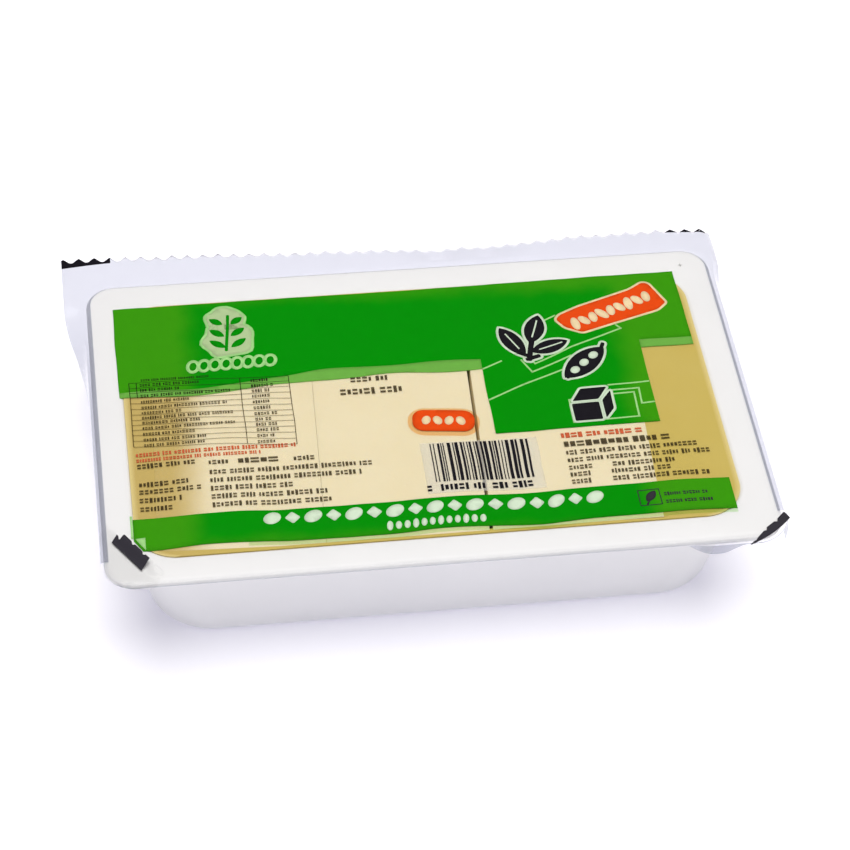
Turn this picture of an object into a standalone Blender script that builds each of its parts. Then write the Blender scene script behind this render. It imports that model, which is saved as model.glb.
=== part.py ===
"""Sealed pack of bean curd: a thin thermoformed tray with a flat flange, three cut blocks standing in
their whey, and a lidding film that overhangs the flange and is tucked under it at the front.

Metres, +Z up, +X along the pack's length, -Y its front. The origin is the centre of the tray's base."""

from math import cos, hypot, pi, radians, sin, sqrt, tan

import bmesh
import bpy
from mathutils import Matrix, Vector

MM = 0.001
GAP = 0.3 * MM  # clearance between neighbouring pieces

# Tray, outside sizes
FLANGE_LENGTH = 200 * MM
FLANGE_DEPTH = 124 * MM
FLANGE_RADIUS = 9 * MM
TRAY_HEIGHT = 41 * MM
TRAY_WALL = 0.8 * MM
MOUTH_LENGTH = 180 * MM
MOUTH_DEPTH = 105.4 * MM
MOUTH_RADIUS = 12 * MM
FLOOR_RADIUS = 19 * MM  # corner of the tray in plan, down at the base
DRAFT = radians(6)
BASE_FILLET = 3.5 * MM
LIP_FILLET = 0.8 * MM
CORNER_STEPS = 8
FILLET_STEPS = 4

# Curd: one slab, turned a little in the tray and cut into three
SLAB_CENTRE = (-8 * MM, -1.2 * MM)
SLAB_DEPTH = 95 * MM
SLAB_TURN = radians(-2.3)
BLOCK_WIDTHS = {"tofu_left": 49 * MM, "tofu_middle": 48 * MM, "tofu_right": 51 * MM}
CUT_WIDTHS = (0.4 * MM, 0.9 * MM)
BLOCK_EDGE = 1.6 * MM
CURD_INSET = 1.2 * MM  # whey left between the curd and the tray's wall, where they come closest

# Lidding film: the sheet's edges when flat, from the tray's centre
FILM_THICKNESS = 0.3 * MM
SHEET_LEFT = -106.9 * MM
SHEET_RIGHT = 104.4 * MM
SHEET_BACK = 73 * MM
SHEET_FRONT = -73.6 * MM
BACK_CORNER = 1 * MM
FRONT_CORNER = 15 * MM  # the front corners are folded away
TOOTH_PITCH = 4.8 * MM
TOOTH_DEPTH = 1.6 * MM
SHEET_STEP = 9 * MM  # between points along an edge without teeth
FOLD_LENGTH = 1.2 * MM  # film that turns down over the flange's edge

# How far the film past the flange turns down from level
BACK_DROOP = radians(17)  # added in the middle of the back edge
BACK_LEFT_DROOP = radians(2)
BACK_RIGHT_DROOP = radians(9)
SAG_CENTRE = 12 * MM
SAG_REACH = 95 * MM
LEFT_DROOP = radians(88)
RIGHT_DROOP = radians(66)
FRONT_DROOP = radians(118)  # past upright: tucked in under the flange


def new_collection(name):
    collection = bpy.data.collections.new(name)
    bpy.context.scene.collection.children.link(collection)
    return collection


def new_material(name, colour, roughness, alpha=1.0):
    material = bpy.data.materials.new(name)
    material.use_nodes = True
    shader = material.node_tree.nodes["Principled BSDF"]
    shader.inputs["Base Color"].default_value = (*colour, 1.0)
    shader.inputs["Roughness"].default_value = roughness
    shader.inputs["Metallic"].default_value = 0.0
    shader.inputs["Alpha"].default_value = alpha
    material.diffuse_color = (*colour, alpha)
    return material


def new_object(name, bm, collection, material=None):
    """Turns the bmesh into a named object."""
    mesh = bpy.data.meshes.new(name)
    bm.to_mesh(mesh)
    bm.free()
    if material:
        mesh.materials.append(material)
    piece = bpy.data.objects.new(name, mesh)
    collection.objects.link(piece)
    return piece


def new_cutter(name, bm, collection):
    cutter = new_object(name, bm, collection)
    cutter.hide_render = True
    cutter.display_type = "WIRE"
    return cutter


def boolean(piece, cutter, operation):
    modifier = piece.modifiers.new(cutter.name, "BOOLEAN")
    modifier.operation = operation
    modifier.solver = "EXACT"
    modifier.object = cutter


def rounded_loop(half_x, half_y, radius, z):
    """Rounded rectangle, counter-clockwise seen from above."""
    loop = []
    for quarter, (side_x, side_y) in enumerate(((1, 1), (-1, 1), (-1, -1), (1, -1))):
        centre = Vector((side_x * (half_x - radius), side_y * (half_y - radius), z))
        for step in range(CORNER_STEPS + 1):
            angle = (quarter + step / CORNER_STEPS) * pi / 2
            loop.append(centre + radius * Vector((cos(angle), sin(angle), 0)))
    return loop


def loft(bm, loops):
    """Joins each loop of points to the next with a band of quads. Returns the first and last loop."""
    rings = [[bm.verts.new(point) for point in loop] for loop in loops]
    for lower, upper in zip(rings, rings[1:]):
        for i in range(len(lower)):
            j = (i + 1) % len(lower)
            bm.faces.new((lower[i], lower[j], upper[j], upper[i]))
    return rings[0], rings[-1]


def wall_loop(z, outward, fillet):
    """Section of the tray's wall at height z, moved outward from the mouth's outline by the given
    distance. fillet is the radius of its turn into the floor, whose centre lies at BASE_FILLET."""
    drop = TRAY_HEIGHT - z
    lean = drop * tan(DRAFT)
    below = min(max(BASE_FILLET - z, 0) / fillet, 1)
    turn = fillet * (1 - sqrt(1 - below**2))
    radius = MOUTH_RADIUS + (FLOOR_RADIUS - MOUTH_RADIUS) * drop / TRAY_HEIGHT
    grow = outward - turn
    return rounded_loop(
        MOUTH_LENGTH / 2 - lean + grow, MOUTH_DEPTH / 2 - lean + grow, radius + grow, z
    )


def fillet_heights(fillet):
    """Heights through the turn from the floor to the wall, lowest first."""
    turns = (step / FILLET_STEPS * pi / 2 for step in range(FILLET_STEPS + 1))
    return [BASE_FILLET - fillet * cos(turn) for turn in turns]


def tray(collection, material):
    """The outer skin from the floor to the flange's edge, given its wall by Solidify."""
    flange_z = TRAY_HEIGHT - TRAY_WALL
    lip_z = flange_z - LIP_FILLET
    loops = [wall_loop(z, TRAY_WALL, BASE_FILLET) for z in fillet_heights(BASE_FILLET)]
    for step in range(3):
        turn = step / 2 * pi / 2
        out = TRAY_WALL + LIP_FILLET * (1 - cos(turn))
        section = wall_loop(lip_z, out, BASE_FILLET)
        loops.append([Vector((p.x, p.y, lip_z + LIP_FILLET * sin(turn))) for p in section])
    loops.append(rounded_loop(FLANGE_LENGTH / 2, FLANGE_DEPTH / 2, FLANGE_RADIUS, flange_z))

    bm = bmesh.new()
    floor, _ = loft(bm, loops)
    bm.faces.new(reversed(floor))
    piece = new_object("tray", bm, collection, material)
    solidify = piece.modifiers.new("wall", "SOLIDIFY")
    solidify.thickness = TRAY_WALL
    solidify.offset = -1
    solidify.use_even_offset = True
    piece.data.shade_smooth()
    piece.data.set_sharp_from_angle(angle=radians(40))
    return piece


def cavity(inset, low, high):
    """Closed solid of the tray's inside, its wall moved in by the given distance."""
    fillet = BASE_FILLET - TRAY_WALL
    turns = [z for z in fillet_heights(fillet) if z > low + GAP]
    bm = bmesh.new()
    floor, top = loft(bm, [wall_loop(z, -inset, fillet) for z in (low, *turns, high)])
    bm.faces.new(reversed(floor))
    bm.faces.new(top)
    return bm


def slab_box(low_x, high_x, grow, low_z, high_z):
    """A box of the slab between two places along it, turned with the slab."""
    size = (high_x - low_x + 2 * grow, SLAB_DEPTH + 2 * grow, high_z - low_z)
    middle = ((low_x + high_x) / 2, 0, (low_z + high_z) / 2)
    bm = bmesh.new()
    bmesh.ops.create_cube(bm, size=1)
    bmesh.ops.scale(bm, vec=size, verts=bm.verts)
    bmesh.ops.translate(bm, vec=middle, verts=bm.verts)
    place = Matrix.Translation((*SLAB_CENTRE, 0)) @ Matrix.Rotation(SLAB_TURN, 4, "Z")
    bmesh.ops.transform(bm, matrix=place, verts=bm.verts)
    return bm


def round_edges(bm, width):
    bmesh.ops.bevel(
        bm, geom=list(bm.edges), offset=width, offset_type="OFFSET", affect="EDGES",
        segments=2, profile=0.5, material=-1,
    )


def curd(collection, cutters, material):
    """The three blocks, side by side from the slab's left end, each kept off the tray's wall."""
    floor_z = TRAY_WALL + GAP
    inside = new_cutter(
        "curd_inside", cavity(CURD_INSET, TRAY_WALL, TRAY_HEIGHT + 1 * MM), cutters
    )
    length = sum(BLOCK_WIDTHS.values()) + sum(CUT_WIDTHS)
    start = -length / 2
    for (name, width), cut in zip(BLOCK_WIDTHS.items(), (*CUT_WIDTHS, 0)):
        bm = slab_box(start, start + width, 0, floor_z, TRAY_HEIGHT)
        round_edges(bm, BLOCK_EDGE)
        block = new_object(name, bm, collection, material)
        boolean(block, inside, "INTERSECT")
        start += width + cut
    return length


def whey(collection, cutters, material, slab_length):
    """Fills the tray round the slab, up to the flange's level."""
    pocket_low = TRAY_WALL / 2
    pocket_high = TRAY_HEIGHT + 0.5 * MM
    pocket = new_cutter(
        "whey_pocket",
        slab_box(-slab_length / 2, slab_length / 2, GAP, pocket_low, pocket_high),
        cutters,
    )
    room = new_cutter(
        "whey_room", cavity(CURD_INSET - GAP, TRAY_WALL, TRAY_HEIGHT + 1 * MM), cutters
    )
    boolean(pocket, room, "INTERSECT")
    piece = new_object("whey", cavity(GAP, TRAY_WALL + GAP, TRAY_HEIGHT), collection, material)
    boolean(piece, pocket, "DIFFERENCE")
    return piece


def teeth(x):
    """How far the cut edge reaches past its valleys: pointed teeth, one to each pitch."""
    phase = (x / TOOTH_PITCH) % 1
    return TOOTH_DEPTH * (1 - abs(2 * phase - 1))


def between(start, end):
    """Points from start towards end, at most SHEET_STEP apart, without the end."""
    length = hypot(end[0] - start[0], end[1] - start[1])
    steps = max(round(length / SHEET_STEP), 1)
    return [
        (start[0] + (end[0] - start[0]) * i / steps, start[1] + (end[1] - start[1]) * i / steps)
        for i in range(steps)
    ]


def corner(centre_x, centre_y, radius, first_quarter, steps):
    """Arc of a sheet corner, counter-clockwise."""
    angles = [(first_quarter + i / steps) * pi / 2 for i in range(steps + 1)]
    return [(centre_x + radius * cos(a), centre_y + radius * sin(a)) for a in angles]


def sheet_outline():
    """The flat sheet's edge, counter-clockwise from its right side: teeth along the back only, where
    the edge shows."""
    low_x, high_x = SHEET_LEFT + FRONT_CORNER, SHEET_RIGHT - FRONT_CORNER
    low_y = SHEET_FRONT + FRONT_CORNER
    right = between((SHEET_RIGHT, low_y), (SHEET_RIGHT, SHEET_BACK))
    left = between((SHEET_LEFT, SHEET_BACK), (SHEET_LEFT, low_y))
    half_pitch = TOOTH_PITCH / 2
    first = int((SHEET_RIGHT - BACK_CORNER) / half_pitch)
    last = int((SHEET_LEFT + BACK_CORNER) / half_pitch)
    back = [(i * half_pitch, SHEET_BACK + teeth(i * half_pitch)) for i in range(first, last - 1, -1)]
    front_left = corner(low_x, low_y, FRONT_CORNER, 2, 5)
    front_right = corner(high_x, low_y, FRONT_CORNER, 3, 5)
    front = between((low_x, SHEET_FRONT), (high_x, SHEET_FRONT))[1:]
    return right + [(SHEET_RIGHT, SHEET_BACK)] + back + left + front_left + front + front_right[:-1]


def flange_point(x, y):
    """The nearest point to (x, y) on the line where the film leaves the flange."""
    radius = FLANGE_RADIUS + GAP
    reach_x = FLANGE_LENGTH / 2 - FLANGE_RADIUS
    reach_y = FLANGE_DEPTH / 2 - FLANGE_RADIUS
    centre = Vector((min(max(x, -reach_x), reach_x), min(max(y, -reach_y), reach_y)))
    away = Vector((x, y)) - centre
    return centre + radius * away.normalized()


def ease(share):
    share = min(max(share, 0), 1)
    return share * share * (3 - 2 * share)


def droop(x, y):
    """How far the film that leaves the flange near (x, y) turns down: level at the back corners,
    sagging along the back, hanging along the sides and tucked under along the front."""
    along = ease((x - SHEET_LEFT) / (SHEET_RIGHT - SHEET_LEFT))
    sag = cos(min(abs(x - SAG_CENTRE) / SAG_REACH, 1) * pi / 2) ** 2
    back = BACK_LEFT_DROOP + (BACK_RIGHT_DROOP - BACK_LEFT_DROOP) * along + BACK_DROOP * sag
    side = LEFT_DROOP if x < 0 else RIGHT_DROOP
    towards_front = 1 - ease((y - 5 * MM) / (FLANGE_DEPTH / 2 - 2 * MM))
    turned = back + (side - back) * towards_front
    under = 1 - ease((y + FLANGE_DEPTH / 2 + 1 * MM) / (FLANGE_RADIUS * 1.4))
    return turned + (FRONT_DROOP - turned) * under


def film(collection, material):
    """A flat lid out to the flange's edge, then a band that turns down and runs on to the sheet's edge."""
    low_z = TRAY_HEIGHT + GAP
    lid, fold, edge = [], [], []
    for x, y in sheet_outline():
        leaves = flange_point(x, y)
        past = Vector((x, y)) - leaves
        outward = past.normalized().to_3d()
        down = droop(leaves.x, leaves.y)
        start = leaves.to_3d() + Vector((0, 0, low_z))
        turn = outward * cos(down / 2) - Vector((0, 0, sin(down / 2)))
        run = outward * cos(down) - Vector((0, 0, sin(down)))
        lid.append(start)
        fold.append(start + FOLD_LENGTH * turn)
        edge.append(fold[-1] + (past.length - FOLD_LENGTH) * run)

    bm = bmesh.new()
    _, inner = loft(bm, (edge, fold, lid))
    bmesh.ops.poke(bm, faces=[bm.faces.new(inner)])
    piece = new_object("film", bm, collection, material)
    solidify = piece.modifiers.new("thickness", "SOLIDIFY")
    solidify.thickness = FILM_THICKNESS
    solidify.offset = 1
    return piece


def build():
    for old in list(bpy.data.objects):
        bpy.data.objects.remove(old)
    pack = new_collection("tofu_pack")
    cutters = new_collection("cutters")
    cutters.hide_render = True
    tray(pack, new_material("white_polypropylene", (0.83, 0.83, 0.82), 0.45))
    bean_curd = new_material("bean_curd", (0.84, 0.71, 0.46), 0.5)
    slab_length = curd(pack, cutters, bean_curd)
    whey(pack, cutters, new_material("whey", (0.55, 0.42, 0.10), 0.15, 0.85), slab_length)
    film(pack, new_material("clear_film", (0.88, 0.88, 0.93), 0.12, 0.25))


build()
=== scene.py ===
"""Looks of a sealed pack of bean curd: a white thermoformed tray, three cut blocks in their whey, and a
clear printed lidding film that overhangs the flange.

Meshes are made in millimetres and turned to metres when they become pieces. +X runs along the pack, -Y is
its front, and the tray's base lies at height 0."""

from math import atan2, ceil, cos, floor, hypot, pi, radians, sin, tan
from random import Random

import bmesh
import bpy
from mathutils import Matrix, Vector, noise


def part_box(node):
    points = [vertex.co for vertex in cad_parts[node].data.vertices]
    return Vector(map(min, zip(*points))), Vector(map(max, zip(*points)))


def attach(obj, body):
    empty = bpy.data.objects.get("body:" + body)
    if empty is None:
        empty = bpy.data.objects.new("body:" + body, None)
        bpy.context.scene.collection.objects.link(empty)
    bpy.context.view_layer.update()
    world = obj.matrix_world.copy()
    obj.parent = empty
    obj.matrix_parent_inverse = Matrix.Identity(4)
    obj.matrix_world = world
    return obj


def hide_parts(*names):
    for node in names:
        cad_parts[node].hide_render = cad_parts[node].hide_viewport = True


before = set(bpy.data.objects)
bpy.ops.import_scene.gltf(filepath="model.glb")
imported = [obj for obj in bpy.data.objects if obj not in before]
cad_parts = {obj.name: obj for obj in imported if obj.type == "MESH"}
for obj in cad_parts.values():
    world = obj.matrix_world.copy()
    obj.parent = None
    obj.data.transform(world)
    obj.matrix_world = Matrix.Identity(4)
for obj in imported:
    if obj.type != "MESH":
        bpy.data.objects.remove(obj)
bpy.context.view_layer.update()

MM = 0.001

# Tray, from the frame
TRAY_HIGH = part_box("tray")[1] / MM
HALF_LENGTH = TRAY_HIGH.x
HALF_DEPTH = TRAY_HIGH.y
FLANGE_TOP = TRAY_HIGH.z
FLANGE_RADIUS = 9
WALL = 0.8
MOUTH = (180.0, 103.4)  # size of the opening at the flange's level
MOUTH_CENTRE = Vector((-0.4, -0.6))
MOUTH_RADIUS = 12
FLOOR_RADIUS = 19
DRAFT = radians(6)
BASE_FILLET = 3.5
LIP_FILLET = 0.8
RIM_DROP = 1.3  # the flange's edge is turned down by this much
CORNER_SEGMENTS = 16

# Curd: one slab, turned a little in the tray and cut into three
SLAB_CENTRE = Vector((-8, -3.7))
SLAB_DEPTH = 99
SLAB_TURN = radians(-2.3)
BLOCK_WIDTHS = {"tofu_left": 49, "tofu_middle": 48, "tofu_right": 51}
CUT_WIDTHS = (0.05, 1.0)
BLOCK_EDGE = 0.1
BLOCK_STEP = 3  # size of the faces that carry the curd's unevenness
SHORE = (1.6, 0.4)  # strips along the end and side walls where the whey gets shallow

# Lidding film: the sheet's edges when flat
LID_HEIGHT = FLANGE_TOP + 0.35
FILM_THICKNESS = 0.08
SHEET_LEFT = -106.9
SHEET_RIGHT = 104.4
SHEET_BACK = 72.1
SHEET_FRONT = -73.6
FRONT_LEFT_CORNER = 34
FRONT_RIGHT_CORNER = 15
FRONT_HANG = 5.6  # length of film that hangs free at the right of the front
RIM_ROUND = 1.4  # the flange rounds off over this width, and the film leaves it there
BACK_CORNER = 0.5
TOOTH_PITCH = 4.94
TOOTH_DEPTH = 1.8
FOLD_RADIUS = 0.9
BACK_FOLD_RADIUS = 5

# How far the film past the flange turns down from level
BACK_LEFT_DROOP = radians(-4)
BACK_RIGHT_DROOP = radians(12)
SAG_DROOP = radians(10)
SAG_CENTRE = 22
SAG_REACH = 45
LEFT_DROOP = radians(86)
RIGHT_DROOP = radians(64)
FRONT_DROOP = radians(158)

# Printed layers under the film, by their depth below its middle
INK_THICKNESS = 0.01
INK_STEP = 2.4
BLACK_DEPTH = 0.10
LINE_DEPTH = 0.12
WHITE_DEPTH = 0.14
RED_DEPTH = 0.16
PALE_DEPTH = 0.18
GREEN_DEPTH = 0.20


# ---------------------------------------------------------------- camera and light

CAMERA_PLACE = Vector((-97.5, -561.8, 635.2))
CAMERA_TARGET = Vector((-0.7, -7.9, FLANGE_TOP))
CAMERA_ROLL = radians(3.1)
CAMERA_LENS = 114.35


def aim(thing, place, target, roll=0):
    thing.location = place * MM
    turn = (target - place).to_track_quat("-Z", "Y")
    thing.rotation_euler = (turn.to_matrix() @ Matrix.Rotation(roll, 3, "Z")).to_euler()


def make_camera():
    data = bpy.data.cameras.new("camera")
    data.sensor_width = 36
    data.lens = CAMERA_LENS
    camera = bpy.data.objects.new("camera", data)
    bpy.context.scene.collection.objects.link(camera)
    aim(camera, CAMERA_PLACE, CAMERA_TARGET, CAMERA_ROLL)
    bpy.context.scene.camera = camera


def linear(hex_colour, alpha=1):
    """sRGB hex to the linear colour that shaders take."""
    channels = [int(hex_colour[i:i + 2], 16) / 255 for i in (1, 3, 5)]
    return (*((c / 12.92 if c <= 0.04045 else ((c + 0.055) / 1.055) ** 2.4) for c in channels), alpha)


def add_node(tree, kind, inputs=None, **settings):
    """Adds a node. Its inputs are given by name or number, each as a value or as the output that feeds it."""
    node = tree.nodes.new(kind)
    for name, value in settings.items():
        setattr(node, name, value)
    for key, value in (inputs or {}).items():
        if isinstance(value, bpy.types.NodeSocket):
            tree.links.new(value, node.inputs[key])
        else:
            node.inputs[key].default_value = value
    return node


def make_light(name, place, size, power, colour):
    data = bpy.data.lights.new(name, "AREA")
    data.shape = "SQUARE"
    data.size = size * MM
    data.energy = power
    data.color = linear(colour)[:3]
    light = bpy.data.objects.new(name, data)
    bpy.context.scene.collection.objects.link(light)
    light.visible_camera = False
    aim(light, place, Vector((0, 0, 20)))


def make_studio():
    """A very large softbox overhead, a weak one at the front, and pale walls low round the set. The
    space above the walls is dim, so that the film shows its print without haze."""
    make_light("softbox", Vector((60, -5, 1400)), 1450, 26, "#FFFDFA")
    make_light("front_fill", Vector((-500, -1500, 500)), 900, 0.4, "#F8F8FF")

    world = bpy.data.worlds.new("studio")
    bpy.context.scene.world = world
    world.use_nodes = True
    tree = world.node_tree
    tree.nodes.clear()
    coords = add_node(tree, "ShaderNodeTexCoord")
    height = add_node(tree, "ShaderNodeSeparateXYZ", {0: coords.outputs["Generated"]})
    strength = add_node(
        tree, "ShaderNodeMapRange",
        {"Value": height.outputs["Z"], "From Min": 0.2, "From Max": 0.5, "To Min": 0.62, "To Max": 0.1},
    )
    light = add_node(
        tree, "ShaderNodeBackground", {"Color": linear("#F8F7FE"), "Strength": strength.outputs[0]}
    )
    add_node(tree, "ShaderNodeOutputWorld", {"Surface": light.outputs[0]})

    bm = bmesh.new()
    bmesh.ops.create_grid(bm, x_segments=1, y_segments=1, size=12000)
    bmesh.ops.scale(bm, vec=(MM, MM, MM), verts=bm.verts)
    mesh = bpy.data.meshes.new("floor")
    bm.to_mesh(mesh)
    bm.free()
    mesh.materials.append(lit_table())
    floor = bpy.data.objects.new("floor", mesh)
    bpy.context.scene.collection.objects.link(floor)
    bpy.context.scene.view_settings.view_transform = "Standard"


# ---------------------------------------------------------------- materials

MIX_FACTOR, MIX_A, MIX_B, MIX_RESULT = 0, 6, 7, 2  # sockets of a colour Mix node


def per(size):
    """Noise scale for a pattern of the given size in millimetres, on coordinates in metres."""
    return 1 / (size * MM)


def new_material(name):
    material = bpy.data.materials.new(name)
    material.use_nodes = True
    material.node_tree.nodes.clear()
    return material, material.node_tree


def lit_table():
    """Opal acrylic sheet: plain, matt and almost white, with a little light let through from below that
    softens the shadows."""
    material, tree = new_material("opal_acrylic_table")
    coords = add_node(tree, "ShaderNodeTexCoord")
    fibre = add_node(
        tree, "ShaderNodeTexNoise", {"Vector": coords.outputs["Object"], "Scale": per(60), "Detail": 3.0}
    )
    tone = add_node(
        tree, "ShaderNodeMix",
        {MIX_FACTOR: fibre.outputs["Fac"], MIX_A: linear("#F9F9FC"), MIX_B: linear("#FDFDFE")},
        data_type="RGBA",
    )
    shader = add_node(
        tree, "ShaderNodeBsdfPrincipled",
        {
            "Base Color": tone.outputs[MIX_RESULT], "Roughness": 0.9, "Emission Color": linear("#EEEAFF"),
            "Emission Strength": 0.26,
        },
    )
    add_node(tree, "ShaderNodeOutputMaterial", {"Surface": shader.outputs[0]})
    return material


def white_polypropylene():
    """Polypropylene sheet drawn into a mould: satin and almost white. The mould's fine grain breaks up its
    shine, and the drawn sheet is a little uneven in tone."""
    material, tree = new_material("white_polypropylene")
    coords = add_node(tree, "ShaderNodeTexCoord")
    drawn = add_node(
        tree, "ShaderNodeTexNoise", {"Vector": coords.outputs["Object"], "Scale": per(22), "Detail": 2.0}
    )
    grain = add_node(
        tree, "ShaderNodeTexNoise", {"Vector": coords.outputs["Object"], "Scale": per(0.7), "Detail": 2.0}
    )
    tone = add_node(
        tree, "ShaderNodeMix",
        {MIX_FACTOR: drawn.outputs["Fac"], MIX_A: linear("#E8E8E9"), MIX_B: linear("#EEEEEF")},
        data_type="RGBA",
    )
    roughness = add_node(
        tree, "ShaderNodeMapRange", {"Value": grain.outputs["Fac"], "To Min": 0.36, "To Max": 0.5}
    )
    bump = add_node(
        tree, "ShaderNodeBump", {"Height": grain.outputs["Fac"], "Strength": 0.25, "Distance": 0.05 * MM}
    )
    shader = add_node(
        tree, "ShaderNodeBsdfPrincipled",
        {
            "Base Color": tone.outputs[MIX_RESULT], "Roughness": roughness.outputs[0], "IOR": 1.49,
            "Normal": bump.outputs[0],
        },
    )
    add_node(tree, "ShaderNodeOutputMaterial", {"Surface": shader.outputs[0]})
    return material


STAINED = "#C3AB66"  # the dull gold of the whey at the left, and of the curd that it soaks


def slab_distance(tree, half_x, half_y, centre, ragged):
    """How far a point lies outside a rectangle that is turned with the slab, in metres, with the edge made
    ragged by the given number of millimetres."""
    coords = add_node(tree, "ShaderNodeTexCoord")
    place = add_node(
        tree, "ShaderNodeMapping",
        {
            "Vector": coords.outputs["Object"], "Location": (*(centre * MM), 0),
            "Rotation": (0, 0, SLAB_TURN),
        },
        vector_type="TEXTURE",
    )
    parts = add_node(tree, "ShaderNodeSeparateXYZ", {0: place.outputs[0]})
    sides = []
    for axis, half in (("X", half_x), ("Y", half_y)):
        away = add_node(tree, "ShaderNodeMath", {0: parts.outputs[axis]}, operation="ABSOLUTE")
        past = add_node(tree, "ShaderNodeMath", {0: away.outputs[0], 1: half * MM}, operation="SUBTRACT")
        sides.append(past.outputs[0])
    farthest = add_node(tree, "ShaderNodeMath", {0: sides[0], 1: sides[1]}, operation="MAXIMUM")
    wander = add_node(
        tree, "ShaderNodeTexNoise", {"Vector": coords.outputs["Object"], "Scale": per(11), "Detail": 2.0}
    )
    shift = add_node(
        tree, "ShaderNodeMapRange",
        {"Value": wander.outputs["Fac"], "To Min": -ragged * MM, "To Max": ragged * MM},
    )
    return add_node(
        tree, "ShaderNodeMath", {0: farthest.outputs[0], 1: shift.outputs[0]}, operation="ADD"
    ).outputs[0]


def bean_curd():
    """Pressed bean curd: moist, cream and slightly see-through at its edges, with a fine grain of curds and
    scattered pinholes. Whey has run over its left end and stains it."""
    material, tree = new_material("pressed_bean_curd")
    coords = add_node(tree, "ShaderNodeTexCoord")
    cloud = add_node(
        tree, "ShaderNodeTexNoise", {"Vector": coords.outputs["Object"], "Scale": per(14), "Detail": 3.0}
    )
    grain = add_node(
        tree, "ShaderNodeTexNoise", {"Vector": coords.outputs["Object"], "Scale": per(1.1), "Detail": 3.0}
    )
    holes = add_node(
        tree, "ShaderNodeTexVoronoi", {"Vector": coords.outputs["Object"], "Scale": per(3.2)},
        feature="F1",
    )
    pinhole = add_node(
        tree, "ShaderNodeMapRange",
        {"Value": holes.outputs["Distance"], "From Min": 0.06, "From Max": 0.16},
    )
    cream = add_node(
        tree, "ShaderNodeMix",
        {MIX_FACTOR: cloud.outputs["Fac"], MIX_A: linear("#E3D5AE"), MIX_B: linear("#E8DDBC")},
        data_type="RGBA",
    )
    soaked = add_node(
        tree, "ShaderNodeMapRange",
        {"Value": slab_distance(tree, 68, 70, Vector((4, 0)), 2.5), "From Min": 0.0, "From Max": 14 * MM},
        interpolation_type="SMOOTHSTEP",
    )
    colour = add_node(
        tree, "ShaderNodeMix",
        {MIX_FACTOR: soaked.outputs[0], MIX_A: cream.outputs[MIX_RESULT], MIX_B: linear(STAINED)},
        data_type="RGBA",
    )
    relief = add_node(
        tree, "ShaderNodeMath", {0: grain.outputs["Fac"], 1: pinhole.outputs[0]}, operation="MULTIPLY"
    )
    bump = add_node(
        tree, "ShaderNodeBump", {"Height": relief.outputs[0], "Strength": 0.5, "Distance": 0.15 * MM}
    )
    shader = add_node(
        tree, "ShaderNodeBsdfPrincipled",
        {
            "Base Color": colour.outputs[MIX_RESULT], "Roughness": 0.5, "IOR": 1.38,
            "Subsurface Weight": 0.15, "Subsurface Radius": (0.004, 0.003, 0.0015),
            "Subsurface Scale": 0.5, "Normal": bump.outputs[0],
        },
    )
    add_node(tree, "ShaderNodeOutputMaterial", {"Surface": shader.outputs[0]})
    return material


def cloudy_whey():
    """Whey: a cloudy golden liquid, duller at the left and paler where it gets shallow against the wall."""
    material, tree = new_material("cloudy_whey")
    coords = add_node(tree, "ShaderNodeTexCoord")
    cloud = add_node(
        tree, "ShaderNodeTexNoise", {"Vector": coords.outputs["Object"], "Scale": per(18), "Detail": 2.0}
    )
    gold = add_node(
        tree, "ShaderNodeMix",
        {MIX_FACTOR: cloud.outputs["Fac"], MIX_A: linear("#C5AE57"), MIX_B: linear("#CBB768")},
        data_type="RGBA",
    )
    place = add_node(tree, "ShaderNodeSeparateXYZ", {0: coords.outputs["Object"]})
    # The whey's gold is mixed towards the dull gold, darker towards the left end.
    left = add_node(
        tree, "ShaderNodeMapRange",
        {"Value": place.outputs["X"], "From Min": -60 * MM, "From Max": -85 * MM},
    )
    darker_at_left = add_node(
        tree, "ShaderNodeMix",
        {MIX_FACTOR: left.outputs[0], MIX_A: gold.outputs[MIX_RESULT], MIX_B: linear(STAINED)},
        data_type="RGBA",
    )
    rim = add_node(tree, "ShaderNodeAttribute", attribute_name="shallow")
    colour = add_node(
        tree, "ShaderNodeMix",
        {MIX_FACTOR: rim.outputs["Fac"], MIX_A: darker_at_left.outputs[MIX_RESULT], MIX_B: linear("#DDCB8C")},
        data_type="RGBA",
    )
    shader = add_node(
        tree, "ShaderNodeBsdfPrincipled",
        {"Base Color": colour.outputs[MIX_RESULT], "Roughness": 0.12, "IOR": 1.34},
    )
    add_node(tree, "ShaderNodeOutputMaterial", {"Surface": shader.outputs[0]})
    return material


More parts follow.
